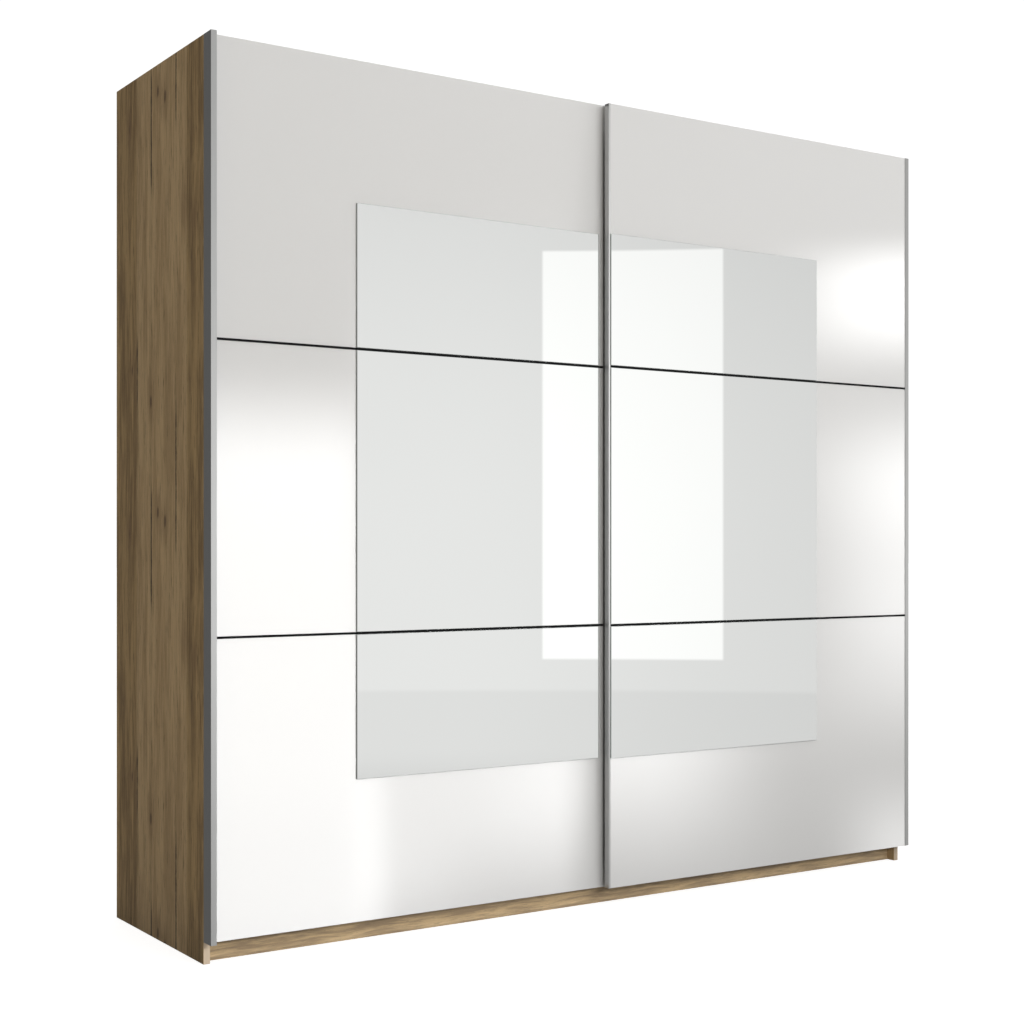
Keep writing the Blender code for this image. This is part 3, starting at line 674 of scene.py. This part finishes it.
def add_nails():
    """Wire nails that hold the back panels, flush with them."""
    outline = [(0.0, -0.0010), (0.0016, -0.0010), (0.0021, -0.0002), (0.0019, 0.0), (0.0013, 0.0002),
               (0.0, 0.0002)]
    shape = turned(outline, 16)
    head = bpy.data.meshes.new("nail_head")
    shape.to_mesh(head)
    shape.free()
    head.shade_smooth()
    low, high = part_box("back_panel_left")
    reach = high.z - low.z - 2 * NAIL_EDGE
    rows = int(reach / NAIL_SPACING) + 1
    heights = [low.z + NAIL_EDGE + reach * n / (rows - 1) for n in range(rows)]
    outermost = HALF_WIDTH - NAIL_EDGE
    places = [(x, z) for x in (-outermost, -NAIL_SEAM, NAIL_SEAM, outermost) for z in heights]
    start = HALF_WIDTH - NAIL_ROW_INSET
    widths = [-start + 2 * start * n / NAIL_COLUMNS for n in range(NAIL_COLUMNS + 1)]
    places += [(x, z) for z in (high.z - NAIL_EDGE, BOTTOM_NAILS_Z) for x in widths]
    for number, (x, z) in enumerate(places):
        fix(f"back_nail_{number:02d}", head, (x, high.y, z), (0, 1, 0), ZINC, "carcass")


def add_cam_caps(cap):
    """Plastic caps over the cam fittings, on the undersides of the top panel and the shelves."""
    for node in CAPPED_BOARDS:
        low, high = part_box(node)
        for side, x in (("left", low.x + CAP_SIDE), ("right", high.x - CAP_SIDE)):
            for row, y in (("front", low.y + CAP_DEPTH), ("rear", high.y - CAP_DEPTH)):
                name = f"{node}_cap_{side}_{row}"
                fix(name, cap, (x, y, low.z), (0, 0, -1), BEIGE_PLASTIC, "carcass")


def add_fasteners():
    # radius and height of each head, and the reach of its cross recess as a share of the radius
    pan_head = button_mesh("pan_head", 0.0034, 0.0011, 0.62)
    add_door_screws(pan_head)
    add_rail_screws(pan_head)
    add_bracket_screws(button_mesh("bracket_head", 0.0046, 0.0022, 0.58))
    add_nails()
    add_cam_caps(button_mesh("cam_cap", 0.0090, 0.0010, 0.28))


# ---- brush seal ----
CARRIER = 0.0014                 # thickness of the strip that holds the bristles
BRISTLE_PITCH = 0.0022           # up the strip
BRISTLE_COLUMNS = (0.2, 0.4, 0.6, 0.8)           # across it, as shares of its width
BRISTLE_RADIUS = 0.00042         # at the root


def add_bristle(shape, root, tip):
    """A thin four-sided bristle that narrows towards its tip."""
    rings = []
    for centre, radius in ((root, BRISTLE_RADIUS), (tip, BRISTLE_RADIUS * 0.45)):
        corners = [Vector((radius * math.cos(a), 0.0, radius * math.sin(a)))
                   for a in (math.pi / 2 * n for n in range(4))]
        rings.append([shape.verts.new(centre + corner) for corner in corners])
    near, far = rings
    for n in range(4):
        m = (n + 1) % 4
        shape.faces.new((near[n], near[m], far[m], far[n]))
    shape.faces.new(far)
    shape.faces.new(reversed(near))


def add_brush():
    """The brush seal: a thin carrier strip and rows of fine bristles."""
    low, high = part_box("right_door_brush_seal")
    shape = bmesh.new()
    size = (high.x - low.x, CARRIER, high.z - low.z)
    middle = Vector(((low.x + high.x) / 2, low.y + CARRIER / 2, (low.z + high.z) / 2))
    strip = bmesh.ops.create_cube(shape, size=1.0)["verts"]
    bmesh.ops.scale(shape, vec=size, verts=strip)
    bmesh.ops.translate(shape, vec=middle, verts=strip)
    bmesh.ops.bevel(shape, geom=list(shape.edges), offset=0.0003, segments=2, affect="EDGES")
    z = low.z + 0.001
    while z < high.z - 0.001:
        for share in BRISTLE_COLUMNS:
            x = low.x + (high.x - low.x) * share
            root = Vector((x, low.y + CARRIER * 0.8, z + random.uniform(0, BRISTLE_PITCH)))
            lean = Vector((random.uniform(-0.0004, 0.0004), 0.0, random.uniform(-0.0006, 0.0006)))
            tip = Vector((root.x, high.y - random.uniform(0.0, 0.0007), root.z)) + lean
            add_bristle(shape, root, tip)
        z += BRISTLE_PITCH
    bmesh.ops.recalc_face_normals(shape, faces=shape.faces)
    mesh = bpy.data.meshes.new("brush_seal")
    shape.to_mesh(mesh)
    shape.free()
    made = show("right_door_brush_seal_fine", mesh, BRUSH, "right_door")
    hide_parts("right_door_brush_seal")


# ---- studio ----
WARM = rgb(1.0, 0.93, 0.80)      # the dim light on the left
NEUTRAL = rgb(1.0, 1.0, 1.0)
FLOOR_FADE = (-1.5, -0.9)        # x where the floor's warm bounce starts to fade, and where it ends
PALE_WALL = 0.76                 # level of the studio walls in gloss and mirrors
PANEL_SWING = (34.5, 40.8)       # the light panel's reach in degrees, from ahead of the doors to the right
PANEL_RISE = (-4.0, 10.2)        # and above the horizon
GLOSS_DISTANCE = 12.0            # from the camera's mirror image to each gloss card


def build_floor():
    """A pale floor that bounces less light than the camera sees, so that it doesn't flood the sides."""
    shape = bmesh.new()
    bmesh.ops.create_grid(shape, x_segments=1, y_segments=1, size=60.0)
    mesh = bpy.data.meshes.new("floor")
    shape.to_mesh(mesh)
    shape.free()
    floor = bpy.data.objects.new("floor", mesh)
    bpy.context.scene.collection.objects.link(floor)
    floor.location = (0.0, 0.0, -0.0002)
    look, g = material("floor")
    x = g.split(g.place())[0]
    shade = g.ease(x, *FLOOR_FADE, 0.47, 0.46)
    warmth = g.mix(g.ease(x, *FLOOR_FADE), WARM, NEUTRAL)
    bounce = g.add("BsdfDiffuse", {"Color": g.scaled(warmth, shade)})
    pale = g.add("BsdfDiffuse", {"Color": rgb(0.50, 0.50, 0.50)})
    lift = g.add("Emission", {"Color": NEUTRAL, "Strength": 0.84})
    seen = g.add("AddShader", {0: pale.outputs[0], 1: lift.outputs[0]})
    kind = g.add("LightPath").outputs["Is Diffuse Ray"]
    both = g.add("MixShader", {0: kind, 1: seen.outputs[0], 2: bounce.outputs[0]})
    g.tree.links.new(both.outputs[0], g.add("OutputMaterial").inputs[0])
    mesh.materials.append(look)
    floor.visible_glossy = False
    floor.visible_shadow = False


def studio_light(g, x, rise):
    """What lights the wardrobe: dim and warm from the left, brighter from overhead, dim from below."""
    sideways = g.ease(x, -0.75, 0.35, 0.080, 0.82)
    overhead = g.ease(rise, 25.0, 80.0, 1.0, 1.35)
    below = g.ease(rise, -2.0, 14.0, 0.4, 1.0)
    level = g.maths("MULTIPLY", g.maths("MULTIPLY", sideways, overhead), below)
    return g.scaled(g.mix(g.ease(x, -0.5, 0.1), WARM, NEUTRAL), level)


def studio_reflection(g, x, y, rise, swing):
    """What shows in gloss and mirrors: walls pale in front and on the right and dim behind on the left,
    a bright ceiling, a pale near floor and a light panel."""
    rightward = g.maths("MULTIPLY_ADD", y, -0.6, x)
    on_right = g.ease(rightward, 0.05, 0.70, 0.0, PALE_WALL)
    in_front = g.ease(y, -0.60, -0.25, PALE_WALL, 0.0)
    wall = g.maths("MAXIMUM", on_right, in_front)
    far_right = g.ease(swing, 31.0, 46.0, 1.0, 0.86)
    upwards = g.ease(rise, 0.0, 30.0, 1.0, 0.66)
    floor_line = g.ease(rise, -5.2, -5.0, 0.92, 1.0)
    floor_fade = g.ease(rise, -11.0, -7.0, 0.45, 1.0)
    for factor in (far_right, upwards, floor_line, floor_fade):
        wall = g.maths("MULTIPLY", wall, factor)
    ceiling = g.ease(rise, 40.0, 75.0, 0.0, 0.60)
    everywhere = g.ease(y, -0.2, 0.6, 0.10, 0.16)
    near_floor = g.maths("MULTIPLY", g.ease(rise, -40.0, -18.0, 0.35, 0.0), g.ease(y, -0.2, 0.0, 1.0, 0.0))
    for level in (ceiling, everywhere, near_floor):
        wall = g.maths("ADD", wall, level)
    panel = g.maths("MULTIPLY", g.span(swing, *PANEL_SWING, 0.12), g.span(rise, *PANEL_RISE, 0.12))
    return g.scaled((1.0, 1.0, 0.99), g.maths("MULTIPLY_ADD", panel, 0.27, wall))


def build_world():
    """The studio round the wardrobe: white for the camera, and as above for light and reflections."""
    world = bpy.data.worlds.new("studio")
    bpy.context.scene.world = world
    g = Graph(world)
    x, y, z = g.split(g.add("TexCoord").outputs["Generated"])
    flat = g.maths("SQRT", g.maths("ADD", g.maths("MULTIPLY", x, x), g.maths("MULTIPLY", y, y)))
    degrees = 180 / math.pi
    rise = g.maths("MULTIPLY", g.maths("ARCTAN2", z, flat), degrees)
    swing = g.maths("MULTIPLY", g.maths("ARCTAN2", x, g.maths("MULTIPLY", y, -1.0)), degrees)
    path = g.add("LightPath").outputs
    light = studio_light(g, x, rise)
    shade = g.mix(path["Is Glossy Ray"], light, studio_reflection(g, x, y, rise, swing))
    lit = g.add("Background", {"Color": shade, "Strength": 1.0})
    white = g.add("Background", {"Color": NEUTRAL, "Strength": 1.05})
    both = g.add("MixShader", {0: path["Is Camera Ray"], 1: lit.outputs[0], 2: white.outputs[0]})
    g.tree.links.new(both.outputs[0], g.add("OutputWorld").inputs[0])


def area_light(name, at, aim, width, height, radiance):
    """A rectangular light. Radiance is that of its face."""
    data = bpy.data.lights.new(name, "AREA")
    data.shape = "RECTANGLE"
    data.size = width
    data.size_y = height
    data.energy = radiance * math.pi * width * height
    made = bpy.data.objects.new(name, data)
    bpy.context.scene.collection.objects.link(made)
    made.location = at
    made.rotation_euler = (Vector(aim) - Vector(at)).to_track_quat("-Z", "Y").to_euler()
    return made


def build_key():
    """A broad high light in front on the right, one overhead, and one in front that lights only the feet
    and the plinth under the doors."""
    key = area_light("key", (1.5, -5.5, 3.6), (0.2, -0.3, 1.1), 4.0, 1.7, 4.7)
    low = area_light("low", (-0.6, -5.0, 1.8), (-0.6, -0.3, 0.0), 1.6, 0.5, 37.0)
    top = area_light("top", (0.2, 0.3, 5.0), (0.2, 0.0, 0.0), 4.5, 3.0, 1.6)
    for light in (key, low, top):
        light.visible_glossy = False
    receivers = bpy.data.collections.new("feet_and_plinth")
    for node in ("plinth_front", "side_panel_left", "side_panel_right"):
        receivers.objects.link(NODES[node])
    low.light_linking.receiver_collection = receivers


def gloss_card(name, swing, rise, radiance, soft, receivers):
    """A soft-edged card of light that shows only in the gloss of the receivers.

    swing and rise are its ranges in degrees, seen from the camera's mirror image behind the doors: swing
    from straight ahead of the doors towards the right, rise above the horizon. soft is the width of its
    edges, left, right, bottom and top, in degrees."""
    soft_left, soft_right, soft_bottom, soft_top = soft
    left = swing[0] - soft_left / 2
    right = swing[1] + soft_right / 2
    low = rise[0] - soft_bottom / 2
    high = rise[1] + soft_top / 2
    turn = math.radians((left + right) / 2)
    lift = math.radians((low + high) / 2)
    image = Vector((EYE.x, 2 * PANEL_FRONT - EYE.y, EYE.z))
    ahead = Vector((math.sin(turn) * math.cos(lift), -math.cos(turn) * math.cos(lift), math.sin(lift)))
    width = 2 * GLOSS_DISTANCE * math.tan(math.radians(right - left) / 2)
    height = 2 * GLOSS_DISTANCE * math.tan(math.radians(high - low) / 2)
    card = area_light(name, image + ahead * GLOSS_DISTANCE, image, width, height, 1.0)

    g = Graph(card.data)
    u, v, _ = g.split(g.add("NewGeometry").outputs["Parametric"])
    mask = g.ease(u, 0.0, soft_left / (right - left))
    for edge in (g.ease(u, 1 - soft_right / (right - left), 1.0, 1.0, 0.0),
                 g.ease(v, 0.0, soft_bottom / (high - low)),
                 g.ease(v, 1 - soft_top / (high - low), 1.0, 1.0, 0.0)):
        mask = g.maths("MULTIPLY", mask, edge)
    glow = g.add("Emission", {"Color": NEUTRAL, "Strength": g.maths("MULTIPLY", mask, radiance)})
    g.tree.links.new(glow.outputs[0], g.add("OutputLight").inputs[0])
    card.visible_diffuse = False
    card.light_linking.receiver_collection = receivers


def build_gloss():
    # swing from and to, rise from and to, radiance, then the soft edges: left, right, bottom, top
    panels = {
        "left": {
            "broad": ((0.0, 35.5), (2.7, 40.0), 0.6, (1.4, 0.8, 12.0, 1.0)),
            "margin": ((2.0, 28.4), (-20.0, 4.6), 4.8, (2.0, 1.9, 7.0, 4.4)),
            "foot": ((28.3, 35.7), (-12.0, 9.0), 3.4, (1.7, 1.6, 6.0, 6.5)),
            "foot_glow": ((34.6, 36.1), (-10.0, 2.8), 2.0, (7.5, 0.5, 3.8, 4.0)),
            "foot_corner": ((28.4, 31.1), (-14.3, -10.5), 1.1, (1.4, 3.6, 4.4, 3.0)),
        },
        "right": {
            "broad": ((34.5, 57.0), (-6.3, 40.0), 0.6, (1.0, 0.5, 4.0, 1.0)),
            "foot": ((35.6, 40.5), (-9.7, 4.3), 4.0, (2.0, 5.8, 7.5, 3.0)),
            "margin": ((44.8, 57.0), (-4.5, 3.4), 2.4, (4.5, 1.3, 6.3, 5.2)),
            "glow": ((44.6, 57.0), (1.4, 3.6), 1.9, (7.5, 0.7, 5.3, 3.3)),
            "window": ((43.8, 54.0), (6.8, 9.8), 4.3, (5.7, 2.5, 2.9, 1.9)),
            "corner": ((45.4, 60.0), (-25.0, -8.9), 2.3, (2.9, 0.5, 1.5, 3.4)),
        },
    }
    for side, cards in panels.items():
        receivers = bpy.data.collections.new(f"{side}_panels")
        for row in ROWS:
            receivers.objects.link(NODES[f"{side}_door_panel_{row}"])
        for name, (swing, rise, radiance, soft) in cards.items():
            gloss_card(f"gloss_{side}_{name}", swing, rise, radiance, soft, receivers)

    profiles = {
        "left_door_handle": ((2.0, 30.0), (-5.0, 4.5), 1.10, (6.0, 6.0, 6.0, 4.0)),
        "right_door_edge": ((22.0, 52.0), (-2.0, 11.0), 1.7, (8.0, 8.0, 6.0, 6.0)),
        "right_door_handle": ((38.0, 56.0), (-4.0, 2.0), 0.60, (5.0, 5.0, 5.0, 5.0)),
    }
    for name, (swing, rise, radiance, soft) in profiles.items():
        receivers = bpy.data.collections.new(f"{name}_light")
        receivers.objects.link(bpy.data.objects[f"{name}_profile_fine"])
        gloss_card(f"gloss_{name}", swing, rise, radiance, soft, receivers)


def build_camera():
    data = bpy.data.cameras.new("camera")
    data.sensor_width = 36.0
    data.lens = LENS
    data.shift_y = LENS_RISE
    data.clip_end = 200.0
    camera = bpy.data.objects.new("camera", data)
    bpy.context.scene.collection.objects.link(camera)
    camera.location = EYE
    camera.rotation_euler = (math.pi / 2, 0.0, -math.radians(EYE_YAW))
    bpy.context.scene.camera = camera


paint_boards()
show_profiles()
show_fittings()
add_fasteners()
add_brush()
build_floor()
build_world()
build_key()
build_gloss()
build_camera()
bpy.context.scene.view_settings.view_transform = "Standard"
